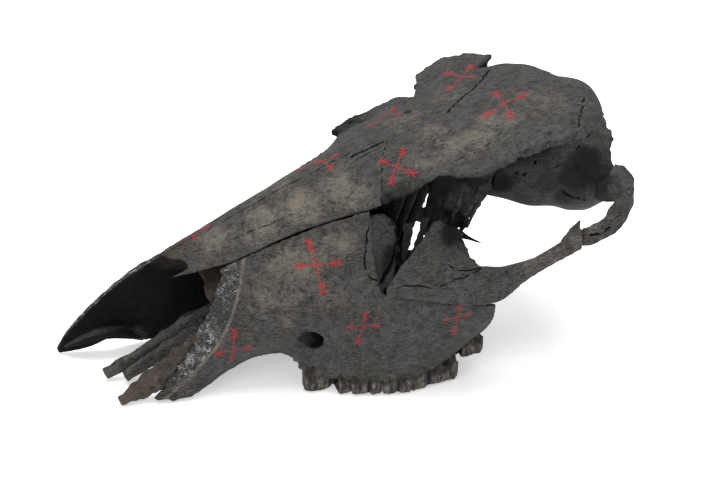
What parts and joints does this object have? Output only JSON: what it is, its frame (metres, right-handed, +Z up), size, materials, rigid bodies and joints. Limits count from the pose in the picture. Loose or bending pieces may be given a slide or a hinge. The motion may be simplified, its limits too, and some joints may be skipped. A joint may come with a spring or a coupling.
{
  "type": "animal skull",
  "caption": "Weathered, blackened skull of a young deer-family animal without lower jaw or antlers, broken in places, with small painted red marks.",
  "frame": {"origin": "middle of the underside of the skull's bounding box, on the surface that it lies on", "axes": "+X to the skull's left, +Y from the snout to the back of the head, +Z up as the skull lies"},
  "size_m": [0.1642, 0.3214, 0.151],
  "materials": {
    "outer_bone": "matt, blackened, with beige mottling",
    "inner_bone": "dark, with a patchy gloss",
    "brown_bone": "matt, brown and porous"
  },
  "bodies": {
    "root": {"nasal_left": "outer_bone", "nasal_right": "outer_bone", "frontal_left": "outer_bone", "frontal_right": "outer_bone", "maxilla_left": "outer_bone", "maxilla_right": "outer_bone", "zygomatic_left": "outer_bone", "zygomatic_right": "outer_bone", "arch_root_left": "outer_bone", "arch_root_right": "outer_bone", "braincase": "inner_bone", "vomer": "inner_bone", "palatine_left": "inner_bone", "palatine_right": "inner_bone", "palatine_process_left": "inner_bone", "palatine_process_right": "inner_bone", "ethmoid_left": "inner_bone", "ethmoid_right": "inner_bone", "premaxilla_left": "brown_bone", "premaxilla_right": "brown_bone", "turbinate_left": "brown_bone", "turbinate_right": "brown_bone"}
  },
  "joints": []
}
